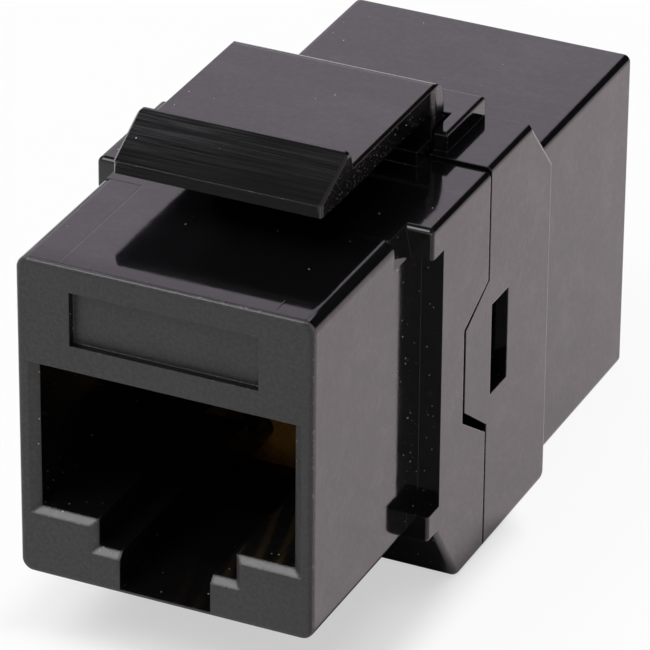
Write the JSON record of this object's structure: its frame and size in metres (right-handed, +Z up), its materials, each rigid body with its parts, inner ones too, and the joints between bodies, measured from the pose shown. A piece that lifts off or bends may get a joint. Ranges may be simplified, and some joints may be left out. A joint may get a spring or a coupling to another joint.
{
  "type": "keystone coupler",
  "caption": "Keystone panel coupler: snap-together shells round a circuit board, a modular jack in each end and a sprung latch arm on top.",
  "frame": {"origin": "under the middle of the coupler, on the plane that its shoulder and rear box stand on", "axes": "+X right as seen from the front jack, +Y from the front jack to the rear jack, +Z up to the latch arm"},
  "size_m": [0.0166, 0.0358, 0.0238],
  "materials": {
    "front_shell": "satin black, matte end face",
    "latch": "satin black",
    "rear_shell": "satin black",
    "board": "bare amber laminate",
    "carrier": "black",
    "contact": "gold plated"
  },
  "bodies": {
    "housing": {"front_housing": "front_shell", "rear_housing": "rear_shell", "circuit_board": "board", "front_contact_carrier": "carrier", "rear_contact_carrier": "carrier", "front_contact_1": "contact", "front_contact_2": "contact", "front_contact_3": "contact", "front_contact_4": "contact", "front_contact_5": "contact", "front_contact_6": "contact", "front_contact_7": "contact", "front_contact_8": "contact", "rear_contact_1": "contact", "rear_contact_2": "contact", "rear_contact_3": "contact", "rear_contact_4": "contact", "rear_contact_5": "contact", "rear_contact_6": "contact", "rear_contact_7": "contact", "rear_contact_8": "contact"},
    "latch": {"latch_arm": "latch"}
  },
  "joints": [
    {"name": "latch_flex", "type": "hinge", "parent": "housing", "child": "latch", "pos_m": [0, -0.00032, 0.02045], "axis": [1, 0, 0], "range_deg": [0, 8], "stiffness_Nm_per_rad": 0.6}
  ]
}
